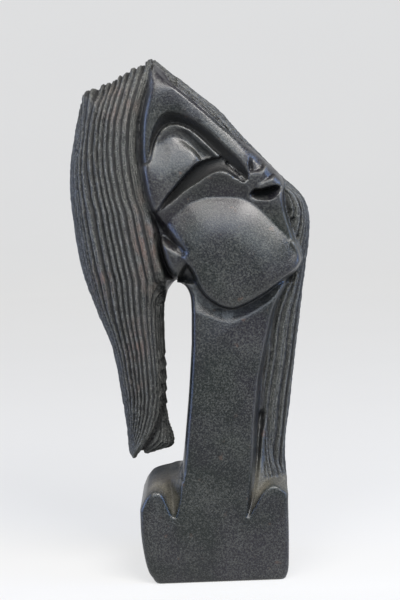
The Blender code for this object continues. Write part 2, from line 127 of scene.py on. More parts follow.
# The face, counter-clockwise from the crown.
HAIRLINE = [(-57.5, 489), (-61, 475), (-66, 459), (-70, 439), (-71, 412), (-69, 390), (-65, 369),
            (-59, 354), (-51, 342), (-42, 331), (-32, 319)]
JAW = [(-27, 309), (-20, 300), (-15, 288), (-7, 277.5), (5, 269.5), (15, 267), (24, 269.5), (33, 274),
       (47, 283), (62, 295), (74, 304), (78.5, 311)]
MUZZLE = [(76, 320), (71, 333), (66, 347), (62, 362), (61, 374), (62, 383), (60, 390), (54, 397), (46, 402)]
NOSE_RIDGE = [(35, 412), (26, 418.5), (15, 427), (5, 434), (-11, 448), (-28, 462), (-44, 474.5)]
BROW_TOP = [(-61.5, 403), (-60.5, 419), (-57, 433), (-51.5, 443), (-44, 448), (-34, 447), (-24, 443),
            (-11, 434.5), (0, 425.5), (13, 413.5), (25, 402), (31, 393)]
LID_RIM = [(29, 386), (25, 389.5), (15, 397.5), (5, 407), (-7, 418), (-18, 428.5), (-28, 434.5), (-37, 437),
           (-44.5, 435), (-51, 429.5), (-56.5, 418), (-60.5, 402)]
LID_FOOT = [(-53.5, 356.5), (-44, 371), (-36, 380.5), (-28, 390), (-18, 400), (-8, 405), (3, 407)]
EYE_EDGE = [(-50, 422), (-47, 424), (-40.5, 425.5), (-34, 424), (-27, 420), (-19.5, 413), (-13.5, 405.5),
            (-12, 402)]
LID_END = [(5, 407), (15, 397.5), (26, 388)]
CHEEK_RIM = [(-53.5, 355.5), (-41, 365), (-28, 376), (-15, 384.5), (-6, 390.5), (2, 394), (10, 393.5),
             (18, 388.5), (28, 383)]
CHEEK_DOME = [(-47, 341), (-40, 349), (-31, 357), (-24, 363), (-11, 368), (5, 369.5), (21, 368.5),
              (32, 364.5), (43, 356), (54, 345), (66, 333), (75, 320)]
MOUTH_HOLLOW = [(33, 411), (29.5, 400), (29.5, 390), (28, 381), (31, 373), (38, 368), (52, 368), (60, 376),
                (64, 384), (60, 392), (48, 402)]
NOSE_TIP = [(33, 410), (33, 401.5), (34.3, 395.8)]
NOSTRIL = [(33, 410), (36.5, 407.5), (45.5, 400), (42.7, 395.2), (40.6, 392.6), (36.4, 394.2), (34.3, 395.8)]
PHILTRUM = [(31, 391), (29.1, 384.2), (27, 378.4)]
PHILTRUM_FACET = [(31.7, 393), (37, 393), (42.7, 395.2), (40.7, 386.8), (37.5, 378.9), (31.2, 373.6),
                  (27, 378.4), (29.1, 384.2)]
UPPER_LIP = [(47, 399.5), (42.6, 392.7), (40, 385.4), (38.4, 379.6)]
UPPER_LIP_FACET = [(45.7, 399.9), (49.5, 401), (54, 396), (52.6, 391.6), (51, 390.1), (45.8, 386.4),
                   (40.5, 382.7), (38.4, 379.6), (40, 385.4), (42.6, 392.7)]
LOWER_LIP = [(38.4, 378.5), (42.6, 382.7), (46.8, 385.4), (51, 387.4), (55.2, 390.6)]
LOWER_LIP_FACET = [(38.4, 378.5), (42.6, 382.7), (46.8, 385.4), (51, 387.4), (55.2, 390.6), (58.4, 389.5),
                   (60.8, 386.4), (61.6, 382.7), (59.5, 380.4), (55.3, 380.9), (49, 379.6), (42.7, 378)]
LIP_SHADOW = [(31.1, 373), (36.7, 376.1), (43, 377.5), (49.4, 379.2), (55.7, 380.4), (60, 379.6),
              (57.9, 376.7), (54.7, 374), (52.6, 371.4), (43.6, 370.4), (35.6, 371.4)]
CHIN_EDGE = LIP_SHADOW[5:] + LIP_SHADOW[:1]
SCOOP_CREASE = [(-31, 268), (-18, 262.5), (-4, 256.5), (6, 253), (16, 252), (28, 257), (40, 264), (52, 272),
                (62, 281)]
EAR = [(-49.5, 330), (-51, 324), (-47.5, 311), (-43, 301), (-37.5, 292.5), (-33, 296.5), (-28.5, 304),
       (-24, 310), (-25, 320), (-40, 325)]
EAR_CREVICE = [(-54, 334), (-52.5, 322), (-49, 309), (-44.5, 299), (-39, 290)]
EAR_CREASE = [(-47, 328), (-39, 323), (-31.5, 318)]

# Where the lock's main tuft folds over the second one behind it.
TUFT_FOLD = [(-73, 114), (-66, 127), (-57, 143), (-50, 160), (-46, 178)]
FOLD_LINE = TUFT_FOLD + [(-30, 190)]
LOCK_INNER = TUFT_FOLD + [(-46, 198), (-46, 265), (-46, 290)] + HAIRLINE[:8]
LOCK_OUTER = HAIR_LEFT[::-1] + [(-126, 465)]
LOCK_EDGE = [(-30, 100), (-40, 170), (-46, 230), (-47, 290)] + HAIRLINE[:8]
PARTING = [(-33, 283), (-38, 400), (-50, 470), (-58, 500)]

# The neck's right edge, from the notch at the shoulder up to under the jaw.
NECK_RIGHT = [(31, 63), (33.5, 92), (36, 125), (37, 155), (39, 180), (41, 200), (45, 222), (49, 242),
              (54, 264), (62, 282), (72, 300)]
HAIR_SHORE = NECK_RIGHT[:-1] + [(72, 297), (78.5, 311)] + MUZZLE + NOSE_RIDGE + [(-58, 500)]
NECK_FOOT_LEFT = [(-36, 120), (-31.5, 106), (-32.5, 86), (-35.5, 70), (-38, 63)]
FLARE = [(32, 62), (36, 72), (39, 81), (42.5, 100), (45, 120), (47, 140), (50, 158)]
BLOCK_AROUND = [(-90, 90), (-90, -40), (90, -40), (90, 80)]
SHOULDER_FRONT_LEFT = [(-38, 63), (-42, 67), (-45.5, 75), (-49.5, 84), (-54, 89), (-60, 90.5), (-70, 90)]
SHOULDER_FRONT_RIGHT = [(31, 63), (36, 70), (41, 79), (46, 88.5), (52, 94.5), (58, 95.5), (66, 91), (78, 80)]

# Brown stains on the hair: (across, up, half width, half height).
STAINS = [(-66, 325, 13, 40), (-106, 287, 9, 20), (-74, 232, 10, 22), (-73, 192, 7, 12), (-90, 455, 16, 14)]

# The viewpoint of the picture, in metres and degrees. Its focal length is in heights of the picture, and
# the sensor, in millimetres, only scales that.
VIEW_FROM = (-0.014, -1.300, 0.420)
VIEW_TILT = 83.3
FOCAL_LENGTH = 1341 / 600
SENSOR = 36

# Where the lights point, and the colour that two of them have.
LIT_POINT = (0, 0, 0.38)
WARM_WHITE = (1.0, 0.97, 0.94)


def along_block(x, z):
    """Where places lie across and up the block, whose axis leans."""
    return x * math.cos(LEAN) - z * math.sin(LEAN), x * math.sin(LEAN) + z * math.cos(LEAN)


def spline(points, steps=4):
    """A smooth curve through the points."""
    p = np.asarray(points, float)
    p = np.vstack([2 * p[0] - p[1], p, 2 * p[-1] - p[-2]])
    t = np.linspace(0, 1, steps, endpoint=False)[:, None]
    spans = [0.5 * (2 * b + (c - a) * t + (2 * a - 5 * b + 4 * c - d) * t**2 + (3 * b - a - 3 * c + d) * t**3)
             for a, b, c, d in zip(p, p[1:], p[2:], p[3:])]
    return np.vstack(spans + [p[-2]])


def distance(curve, x, z):
    """How far each place is from a curve."""
    nearest = np.full(x.shape, np.inf)
    for (ax, az), (bx, bz) in zip(curve[:-1], curve[1:]):
        ux, uz = bx - ax, bz - az
        t = np.clip(((x - ax) * ux + (z - az) * uz) / (ux * ux + uz * uz + TINY), 0, 1)
        nearest = np.minimum(nearest, (x - ax - t * ux) ** 2 + (z - az - t * uz) ** 2)
    return np.sqrt(nearest)


def inside(outline, x, z):
    """How far each place is inside a closed outline, negative outside it."""
    ring = np.vstack([outline, outline[:1]])
    crossings = np.zeros(x.shape, bool)
    for (ax, az), (bx, bz) in zip(ring[:-1], ring[1:]):
        spans = (az > z) != (bz > z)
        rise = bz - az if bz != az else 1.0
        crossings ^= spans & (x < ax + (z - az) / rise * (bx - ax))
    return np.where(crossings, 1.0, -1.0) * distance(ring, x, z)


def ease(t):
    """Rise from 0 to 1 that starts and ends softly."""
    t = np.clip(t, 0, 1)
    return t * t * (3 - 2 * t)


def dome(t):
    """A quarter round: 0 at the rim, 1 from t = 1 on."""
    return np.sqrt(1 - (1 - np.clip(t, 0, 1)) ** 2)


def swell(t):
    """Rise from 0 to 1 whose slope falls evenly, for broad soft forms."""
    return 1 - (1 - np.clip(t, 0, 1)) ** 2


def bell(d, width):
    """1 at d = 0, falling away to both sides."""
    return np.exp(-((d / width) ** 2))


def across_at(curve, z):
    """Where a curve that climbs steadily stands at each height."""
    points = np.asarray(sorted(curve, key=lambda p: p[1]), float)
    return np.interp(z, points[:, 1], points[:, 0])


def soften(heights):
    """The heights with their steps worn, as by one pass of fine paper."""
    for axis in (0, 1):
        before, after = np.roll(heights, 1, axis), np.roll(heights, -1, axis)
        heights = (before + 2 * heights + after) / 4
    return heights


def silhouette():
    """The outline seen from the front, as one closed curve."""
    parts = [CROWN_LEFT, HAIR_LEFT, LOCK_TIP, LOCK_RIGHT, ARCH, NECK_LEFT, SHOULDER_LEFT, BASE_LEFT,
             BASE_RIGHT, HAIR_RIGHT]
    return np.vstack([spline(part) for part in parts])


def facet(outline, ridge, top, fall, x, z):
    """A flat cut facet: highest along its ridge, falling away from it, with steep walls round its outline."""
    outside = np.maximum(-inside(np.array(outline + outline[:1], float), x, z), 0)
    return top - fall * distance(np.array(ridge, float), x, z) - 4.0 * outside


def in_slit(x, z):
    """How far each place is inside the eye slit."""
    return inside(np.vstack([spline(LID_FOOT), LID_END, spline(CHEEK_RIM[::-1])]), x, z)


def face_front(x, z):
    """The polished face: one tilted plane with the brow, lid, eye slit, cheek and mouth cut into it."""
    ridge = distance(spline(MUZZLE + NOSE_RIDGE), x, z)
    rim = distance(spline(HAIRLINE), x, z)
    wall = 8.5 * (1 - ease(rim / 5)) + 3.5 * (1 - swell((rim - 3) / 8))
    height = NOSE - FACE_TILT * ridge - wall * ease((490 - z) / 30)
    along_nose = ease((x + 45) / 60) * ease((z - 380) / 20)
    height -= (0.36 * np.maximum(20 - ridge, 0) - 3.6) * along_nose

    cheek = inside(np.vstack([spline(CHEEK_DOME), spline(JAW[::-1])]), x, z)
    to_dome = distance(spline(CHEEK_DOME), x, z)
    to_jaw = distance(spline(JAW), x, z)
    swelling = CHEEK_SWELL * swell(to_dome / 40) + dome(to_dome / 3) + 2 * dome(to_jaw / 14) - 6
    height += np.where(cheek > 0, swelling, -3.5 * bell(to_dome, 10) * (z > 330))

    lid = inside(np.vstack([spline(LID_RIM), [(-80, 395), (-80, 350)], spline(LID_FOOT)]), x, z)
    from_rim = distance(spline(LID_RIM), x, z)
    valley = 1.5 + 5.0 * ease((x + 45) / 20)
    eye = np.vstack([spline(EYE_EDGE), spline(LID_FOOT[:-2])[::-1], [(-80, 350), (-80, 422)]])
    within = distance(spline(EYE_EDGE), x, z)
    within = within**2 / (within + 0.01 + 9 * ease((-20 - x) / 15))
    eyeball = (valley - 1.5) * dome(within / 3) - valley + EYE_SWELL * swell(within / 34)
    relief = np.where(inside(eye, x, z) > 0, eyeball, -valley * ease(from_rim / 7))
    relief += 0.8 * bell(from_rim, 1.5) * ease((10 - x) / 10)
    height += np.where(lid > 0, (relief - 2.0) * ease(lid / 0.6), 0)

    upper = distance(spline(LID_FOOT), x, z)
    lower = distance(spline(CHEEK_RIM), x, z)
    slit = in_slit(x, z)
    slope = SLIT_DEPTH * (lower / (0.6 * upper + lower + NEAR_ZERO)) ** 0.45 * ease((upper + lower) / 8)
    slope = np.maximum(slope, 5.0 * ease((x + 2) / 10))
    height -= np.where(slit > 0, slope * ease(slit + 2 * ease((x - 3) / 4)), 0)
    height += np.where((slit <= 0) & (lid <= 0), 1.8 * bell(lower, 3.0), 0)

    brow = inside(np.vstack([spline(BROW_TOP), spline(LID_RIM)]), x, z)
    above, below = distance(spline(BROW_TOP), x, z), distance(spline(LID_RIM), x, z)
    groove = BROW_DEPTH * (above / (above + below + NEAR_ZERO)) ** 0.7 * ease((above + below) / 5)
    height -= np.where(brow > 0, groove, 0)

    hollow = inside(spline(MOUTH_HOLLOW + MOUTH_HOLLOW[:1]), x, z)
    plane = NOSE - FACE_TILT * ridge
    floor = height - MOUTH_DEPTH * ease(hollow / 3.0)
    floor = np.maximum(floor, facet(NOSTRIL, NOSE_TIP, plane - 3.5, 0.30, x, z))
    floor = np.maximum(floor, facet(PHILTRUM_FACET, PHILTRUM, plane + 0.5, 0.15, x, z))
    floor = np.maximum(floor, facet(UPPER_LIP_FACET, UPPER_LIP, plane + 1.0, 0.60, x, z))
    floor = np.maximum(floor, facet(LOWER_LIP_FACET, LOWER_LIP, plane + 1.5, 0.30, x, z))
    height = np.where(hollow > 0, floor, height)
    chin = distance(spline(CHIN_EDGE), x, z)
    under = inside(spline(LIP_SHADOW + LIP_SHADOW[:1]), x, z)
    height -= LIP_DEPTH * ease(under / 1.2) * ease(chin / 5.0)
    return height


def neck_front(x, z):
    """The flat front that the neck and the block share, with a notch cut down behind each shoulder."""
    border = np.vstack([spline(SHOULDER_FRONT_RIGHT)[::-1], spline(NECK_RIGHT),
                        [(72, 330), (GAP_MIDDLE, 330)], NECK_FOOT_LEFT[:-1],
                        spline(SHOULDER_FRONT_LEFT), BLOCK_AROUND])
    flat = inside(border, x, z)
    jaw, crease = distance(spline(JAW), x, z), distance(spline(SCOOP_CREASE), x, z)
    under = inside(np.vstack([spline(SCOOP_CREASE), spline(JAW[::-1])]), x, z) > 0
    scoop = np.where(under, SCOOP_DEPTH * crease / (jaw + crease + NEAR_ZERO), 0)
    scoop = np.where(z > ARCH_TOP, SCOOP_DEPTH, scoop)
    neck = np.minimum(distance(spline(NECK_RIGHT), x, z), distance(spline(NECK_FOOT_LEFT), x, z))
    lobe = [distance(spline(curve), x, z) for curve in (SHOULDER_FRONT_LEFT, SHOULDER_FRONT_RIGHT)]
    lobe = np.minimum(*lobe) * (3.0 + 9.0 * ease((z - 84) / 8) * np.where(x < 0, ease((-50 - x) / 8), 1))
    wall = np.where(flat < 0, np.minimum(neck * np.interp(z, [95, 125], [2.6, 5.0]), lobe), 0)
    return FRONT - scoop - wall - 1.5 * (1 - np.clip(flat / 3, 0, 1)) ** 2 * (z > 64)


def hair_front(x, z):
    """The hair's own front: the big fall and its lock on the left, the strip behind the nose and the fall
    behind the neck on the right."""
    hairline = across_at(LOCK_EDGE, z)
    fold = x - across_at(FOLD_LINE, z)
    fall = np.interp(z, [100, 125, 200, 300, 350], [22, 32, 43, 51, FRONT + 2])
    fall = fall - (9 * ease(fold / 3) + 4 * bell(fold, 2.5)) * ease((190 - z) / 25)
    left = fall - WALL_SLOPE * np.maximum(x - hairline, 0)
    left -= 5.0 * bell(distance(spline(HAIRLINE), x, z), 5.0)

    behind = x - across_at(HAIR_SHORE, z)
    fall = np.interp(z, [80, 100, 140, 200, 260, 300, 340, 380, 420], [16, 19, 22, 24, 28, 34, 45, 55, 61])
    crack = np.interp(z, [60, 95, 140, 300, 345, 385, 420], [2, 5, 14, 14, 9, 4, 3])
    right = fall - crack * bell(behind - 1.5, 3.0)
    flare = np.interp(z, [62, 80, 100, 120, 145, 165], [50, 45, 39, 33, 27, 22])
    away = x - across_at(FLARE, z)
    flare -= np.where(away > 0, np.interp(z, [90, 120], [0.35, 1.0]), 1.8) * np.abs(away)
    beside = ease((165 - z) / 20) * (away < 0)
    right = np.where(z > 60, np.maximum(right * (1 - beside), np.where(z < 165, flare, 0)), right)
    right = np.where(behind > -4, np.maximum(right, 8), -BACK)
    return np.maximum(left, right)


def fronts(x, z):
    """How far the front stands before the middle, over the whole carving."""
    core = np.where((z > ARCH_TOP - 6) & (x < 20), HEAD_CORE, -BACK)
    ear = inside(spline(EAR + EAR[:1]), x, z)
    ear = 50 + 7 * dome(ear / 7) + 0.25 * (x + 40) - WALL_SLOPE * np.maximum(-ear, 0)
    body = np.maximum.reduce([core, hair_front(x, z), np.where(z < 315, neck_front(x, z), -BACK), ear])
    body -= 18 * bell(distance(spline(EAR_CREVICE), x, z), 2.4) * ease((338 - z) / 16)
    face = inside(np.vstack([spline(HAIRLINE), spline(JAW), spline(MUZZLE), spline(NOSE_RIDGE)]), x, z)
    front = np.maximum(body, face_front(x, z) - WALL_SLOPE * np.maximum(-face, 0))
    front -= 2.5 * bell(distance(spline(EAR_CREASE), x, z), 1.4)
    return np.maximum(front, LEAST_FRONT)


def backs(x, z):
    """How far the back stands behind the middle: hair all over, ending on the shoulders."""
    head = BACK - 7 * bell(x - across_at(PARTING, z), 9) * ease((z - 285) / 40)
    fall = np.interp(z, [95, 130, 200, 300], [FRONT - 2, FRONT - 5, FRONT - 4, BACK])
    hair_edge = np.interp(z, [95, 200, 290], [-16, -12, -20])
    back = np.where(z > ARCH_TOP, head, NECK_BACK + (fall - NECK_BACK) * ease((x - hair_edge) / 9))
    lock = np.interp(z, [100, 125, 200, 300], [20, 30, 42, BACK])
    back = np.where((x < GAP_MIDDLE) & (z < ARCH_TOP), lock, back)
    return np.where(z < SHOULDER_TOP, FRONT, back)


def edges(x, z):
    """How wide the silhouette's rounding is on the front and on the back."""
    left = np.interp(z, [95, 150, 220, 290, 340, 460, 500], [13, 18, 23, 32, 42, 36, 16])
    right_front = np.interp(z, [95, 150, 300, 360, 420, 500], [13, 14, 17, 16, 12, 9])
    right_back = np.interp(z, [95, 150, 300, 500], [20, 26, 34, 26])
    side = np.where(z > ARCH_TOP, ease((x + 62) / 30), x > GAP_MIDDLE)
    front = left + (right_front - left) * side
    back = left + (right_back - left) * side
    neck = (z < ARCH_TOP) & (x > GAP_MIDDLE) & (x < 12)
    base = z < SHOULDER_TOP
    front = np.where(base, BLOCK_EDGE, np.where(neck, 6.0, front))
    back = np.where(base, BLOCK_EDGE, np.where(neck, 12.0, back))
    return front, back


def form(x, y, z):
    """The field: negative inside the stone. x, y and z are grids that broadcast together."""
    u, v = along_block(x[:, 0, :], z[:, 0, :])
    depth_in = inside(silhouette(), u, v)
    front, back = soften(fronts(u, v)), soften(backs(u, v))
    front_edge, back_edge = edges(u, v)
    base = v < SHOULDER_TOP
    front_round = np.where(u > 40, np.interp(v, [250, 310], [12, 30]), np.where(v > ARCH_TOP, 30, 12))
    front_round = np.where(u > GAP_MIDDLE, front_round, front)
    front_round = np.minimum(front, np.where(base, BLOCK_EDGE, front_round))
    back_round = np.minimum(back, np.where(base, BLOCK_EDGE, back))
    stands = np.where(y < 0, front[:, None], back[:, None])
    rounding = np.where(y < 0, front_round[:, None], back_round[:, None])
    rim = np.where(y < 0, front_edge[:, None], back_edge[:, None])
    side = np.maximum(1 - depth_in[:, None] / rim, 0) ** ROUNDNESS
    face = np.maximum(1 - (stands - np.abs(y)) / rounding, 0) ** ROUNDNESS
    foot = np.maximum(1 - (z + 0.8) * UNIT / FOOT_EDGE, 0) ** ROUNDNESS
    field = ((side + face + foot) ** (1 / ROUNDNESS) - 1) * np.minimum(rim, rounding)
    return np.maximum(field, -z)


def skin():
    """The field's surface: points in units and quads."""
    cell = CELL / UNIT
    low = np.array([-150.0, -NOSE - 12, -2.5 * cell])
    high = np.array([125.0, BACK + 12, 512.0])
    counts = np.ceil((high - low) / cell).astype(int)
    axes = [start + cell * np.arange(count, dtype=np.float32) for start, count in zip(low, counts)]
    values = form(axes[0][:, None, None], axes[1][None, :, None], axes[2][None, None, :])
    grid = openvdb.FloatGrid(background=float(values.max()))
    grid.copyFromArray(np.ascontiguousarray(values, np.float32))
    points, quads = grid.convertToQuads(isovalue=0.0)
    return low + cell * points, quads


def gathered(count, index, values):
    """Sums of the values of each index."""
    return np.stack([np.bincount(index, values[:, axis], count) for axis in range(3)], axis=1)


def normals(points, faces):
    """Outward normals at the points of triangles or quads."""
    if faces.shape[1] == 4:
        a, b, c, d = (points[faces[:, i]] for i in range(4))
        across = np.cross(c - a, d - b)
    else:
        a, b, c = (points[faces[:, i]] for i in range(3))
        across = np.cross(b - a, c - a)
    total = sum(gathered(len(points), faces[:, i], across) for i in range(faces.shape[1]))
    return total / (np.linalg.norm(total, axis=1, keepdims=True) + TINY)


def ridges(share, count, rng, wander):
    """Depth of the flutes, 0 on their crests and up to 1 in their grooves, at each share of the way round."""
    widths = rng.uniform(0.5, 1.7, count)
    starts = np.concatenate([[0], np.cumsum(widths)]) / widths.sum()
    depths = rng.uniform(0.5, 1.0, count + 1)
    share = (share + wander) % 1
    flute = np.searchsorted(starts, share, side="right") - 1
    within = (share - starts[flute]) / (starts[flute + 1] - starts[flute])
    groove = (1 - np.abs(np.sin(math.pi * within))) ** 1.3
    return groove * (depths[flute] * (1 - within) + depths[flute + 1] * within)


def hair_parts(u, y, v):
    """Where each point is hair: shares from 0 to 1 for the left mass and for the right mass."""
    parting = across_at(PARTING, v)
    left_edge = across_at(LOCK_EDGE, v)
    limit = np.where(y < 0, left_edge, np.where(v > ARCH_TOP, parting, GAP_MIDDLE))
    left = ease((limit + 1.5 - u) / 3) * (v > 100)
    right_edge = across_at(HAIR_SHORE, v)
    back_edge = np.where(v > ARCH_TOP, parting, np.interp(v, [95, 200, 289], [-9, -5, -12]))
    turn = np.interp(v, [100, 260, 320, 400], [8, 0, -25, -40])
    limit = np.where(y < turn, right_edge + 3, back_edge)
    right = ease((u - limit + 1) / 3) * ease((v - SHOULDER_TOP - np.where(y < 0, 0, 2)) / 4)
    polished = (y < 0) & (v < 160) & (np.abs(u - across_at(FLARE, v)) < np.interp(v, [95, 160], [6, 1]))
    right = np.where(polished, 0, right)
    return left, np.where((u > GAP_MIDDLE) | (v > ARCH_TOP), right, 0)


def strands(points):
    """Where each point lies in the hair: both masses' shares, how far across the strands and how far up
    it is, and how deep the flutes and the finer lines between them are there."""
    x, y, z = points.T
    u, v = along_block(x, z)
    rng = np.random.default_rng(SEED)
    left, right = hair_parts(u, y, v)
    outer = across_at(LOCK_OUTER, v)
    stands = np.interp(v, [100, 125, 200, 300], [17, 27, 39, 46])
    inner = across_at(LOCK_INNER, v)
    span = inner - outer + stands
    wander = 0.006 * np.sin(v / 31) + 0.004 * np.sin(v / 13 + 1)
    crown = np.interp(u, [-126, -59], [465, 500])
    over = ease((crown - v) / 45)
    over *= 1 - 2 * ease((u - (outer + inner) / 2) / 20 + 0.5) * ease((ARCH_TOP - v) / 20)
    left_share = (u - outer + stands - np.maximum(stands - np.abs(y), 0) * over) / span
    left_share = np.minimum(left_share, 1) + np.maximum(left_share - 1, 0) * span / 90
    fine = np.where(left_share > 1, 1, ease((span / FLUTES_LEFT - 2) / 2))
    flutes = left * fine * ridges(left_share, FLUTES_LEFT, rng, wander)
    fold = bell(u - across_at(FOLD_LINE, v), 2) * (y < 0) * ease((185 - v) / 20)
    flutes = np.maximum(flutes, 0.8 * left * fold)
    shore = across_at(HAIR_RIGHT, v)
    right_share = 0.35 + (y + np.sign(y) * np.maximum(shore - u, 0)) / 230
    crack = u - across_at(HAIR_SHORE, v) - np.interp(v, [165, 200], [6, 2])
    crack = bell(crack, np.interp(v, [165, 200], [8, 5])) * ease((285 - v) / 40)
    right = right * (1 - 0.85 * (y < 0) * crack)
    flutes = np.maximum(flutes, right * ridges(right_share, FLUTES_RIGHT, rng, wander))
    lines = left * fine * ridges(left_share, 3 * FLUTES_LEFT, rng, 0.7 * wander)
    lines = np.maximum(lines, right * ridges(right_share, 2 * FLUTES_RIGHT, rng, 0.7 * wander))
    across = np.where(left >= right, left_share * 120, 300 + right_share * 230)
    return left, right, across, v, flutes, lines


def rough(points, size, stretch=(1, 1, 1)):
    """Seeded noise from -1 to 1 at each point."""
    scale = np.asarray(stretch) / size
    return np.fromiter((noise.noise(Vector(p)) for p in (points * scale).tolist()), float, len(points))


def curvature(points, faces, rounds):
    """How sharply the skin turns at each point: positive on edges, negative in creases."""
    ends = np.concatenate([faces[:, [0, 1]], faces[:, [1, 2]], faces[:, [2, 0]]])
    ends = np.concatenate([ends, ends[:, ::-1]])
    shared = np.bincount(ends[:, 0], minlength=len(points))[:, None]
    around = gathered(len(points), ends[:, 0], points[ends[:, 1]]) / shared
    reach = np.linalg.norm(points[ends[:, 1]] - points[ends[:, 0]], axis=1)
    reach = np.bincount(ends[:, 0], reach, len(points)) / shared[:, 0]
    turn = -((around - points) * normals(points, faces)).sum(1) / reach**2
    for _ in range(rounds):
        turn = (turn + np.bincount(ends[:, 0], turn[ends[:, 1]], len(points)) / shared[:, 0]) / 2
    return turn


def chips(points):
    """How deep the row of small chips along the lock's inner edge is cut, one below another like teeth."""
    x, y, z = points.T
    u, v = along_block(x, z)
    row = ease((v - CHIPS_LOW) / 4) * ease((CHIPS_HIGH - v) / 4)
    at_edge = ease((u - across_at(LOCK_RIGHT, v) + 7) / 5) * (u < GAP_MIDDLE)
    tooth = ((v - CHIPS_LOW - 2) / CHIP_STEP) % 1
    return CHIP_DEPTH * row * at_edge * tooth


def carved_mesh():
    """The detailed mesh, in units, as points and triangles."""
    points, quads = skin()
    outward = normals(points, quads)
    left, right, across, along, flutes, lines = strands(points)
    hair = np.maximum(left, right)
    depth = FLUTE_DEPTH / UNIT * flutes + LINE_DEPTH * lines
    streak = np.stack([across, along / 10, 0 * along], axis=1)
    depth += GRAIN_DEPTH * hair * rough(streak, 1.8)
    depth += GRAIN_DEPTH * hair * rough(points, 3.0)
    depth += chips(points)
    points = points - outward * depth[:, None]
    mesh = bpy.data.meshes.new("carved")
    mesh.from_pydata(points, [], quads)
    dense = bpy.data.objects.new("carved", mesh)
    bpy.context.scene.collection.objects.link(dense)
    facets = dense.modifiers.new("facets", "DECIMATE")
    facets.ratio = min(1.0, FACETS / (2 * len(quads)))
    facets.use_collapse_triangulate = True
    graph = bpy.context.evaluated_depsgraph_get()
    thinned = dense.evaluated_get(graph).to_mesh()
    points = np.empty(3 * len(thinned.vertices))
    thinned.vertices.foreach_get("co", points)
    thinned.calc_loop_triangles()
    faces = np.empty(3 * len(thinned.loop_triangles), int)
    thinned.loop_triangles.foreach_get("vertices", faces)
    bpy.data.objects.remove(dense)
    bpy.data.meshes.remove(mesh)
    return points.reshape(-1, 3), faces.reshape(-1, 3)


def store(mesh, name, values):
    """Keep one value for each point in the mesh, for the material to read."""
    attribute = mesh.attributes.new(name, "FLOAT", "POINT")
    attribute.data.foreach_set("value", np.ascontiguousarray(values, np.float32))


def store_vector(mesh, name, values):
    """Keep one vector for each point in the mesh, for the material to read."""
    attribute = mesh.attributes.new(name, "FLOAT_VECTOR", "POINT")
    attribute.data.foreach_set("vector", np.ascontiguousarray(values, np.float32).ravel())


def cuts_painted_shade(points):
    """Share of each point in a deep cut of the face or in the ear's crevice: made dull, and painted
    near-black as shade.
    """
    x, y, z = points.T
    u, v = along_block(x, z)
    brow = ease(inside(np.vstack([spline(BROW_TOP), spline(LID_RIM)]), u, v) / 1.5)
    slit = ease(in_slit(u, v) / 0.8) * np.interp(u, [-8, 8, 20], [1, 0.6, 0.3])
    lips = ease(inside(spline(LIP_SHADOW + LIP_SHADOW[:1]), u, v) / 1.0)
    lips *= ease(distance(spline(CHIN_EDGE), u, v) / 3.0)
    ear = bell(distance(spline(EAR_CREVICE), u, v), 2.4)
    return np.where(y < -20, np.maximum.reduce([brow, slit, lips, ear]), 0)


def dull_painted_lit_share(points, hair):
    """Share of each point on the shoulders' tops and in the notches beside the neck, which the material
    makes dull and paints a lit tan as painted light."""
    x, y, z = points.T
    u, v = along_block(x, z)
    behind = ease((y + FRONT - 1.5) / 5)
    beside = np.maximum(ease((-32 - u) / 3), ease((u - 34) / 3) * ease((125 - v) / 30))
    return behind * beside * ease((v - 60) / 10) * ease((150 - v) / 30) * (1 - hair) * ease((u + 70) / 8)


def rusty(points):
    """Share of each point in the brown stains: beside the ear, low on the fall and on the lock."""
    x, y, z = points.T
    u, v = along_block(x, z)
    shares = [np.exp(-(((u - a) / wide) ** 2) - ((v - b) / tall) ** 2) for a, b, wide, tall in STAINS]
    return np.maximum.reduce(shares) * ease(0.6 + 1.2 * rough(points, 9.0))


def carving():
    """The piece itself: the detailed mesh, what the material reads from it, and the part it stands for."""
    points, faces = carved_mesh()
    left, right, across, along, flutes, lines = strands(points)
    hair = np.maximum(left, right)
    turn = curvature(points, faces, 2) / SHARP_TURN
    mesh = bpy.data.meshes.new("stone_woman_carving")
    mesh.from_pydata(points * UNIT + np.array([AXIS_SHIFT, 0, 0]), [], faces)
    store(mesh, "hair", hair)
    # Painted light on the shoulders' tops and in the notches beside the neck, which are also made dull.
    store(mesh, "dull_painted_lit", dull_painted_lit_share(points, hair))
    # Painted shade: how deep the hair's flutes and fine lines are, which the material darkens towards
    # near-black.
    store(mesh, "groove", np.clip(flutes + 0.45 * lines, 0, 1))
    # Painted shade: near-black colour in the face's deep cuts and the ear's crevice, which are also made
    # dull.
    store(mesh, "cut", cuts_painted_shade(points))
    store(mesh, "rust", rusty(points))
    # Painted highlight on sharp edges.
    store(mesh, "edge_highlight", np.clip(turn, 0, 1))
    # Painted shade in creases.
    store(mesh, "crease", np.clip(-turn, 0, 1))
    store_vector(mesh, "strand", np.stack([across, along, 0 * along], axis=1) / 1000)
    mesh.polygons.foreach_set("use_smooth", np.ones(len(mesh.polygons), bool))
    mesh.materials.append(stone())
    piece = bpy.data.objects.new("stone_woman_carving", mesh)
    bpy.context.scene.collection.objects.link(piece)
    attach(piece, "root")
    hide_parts("stone_woman")


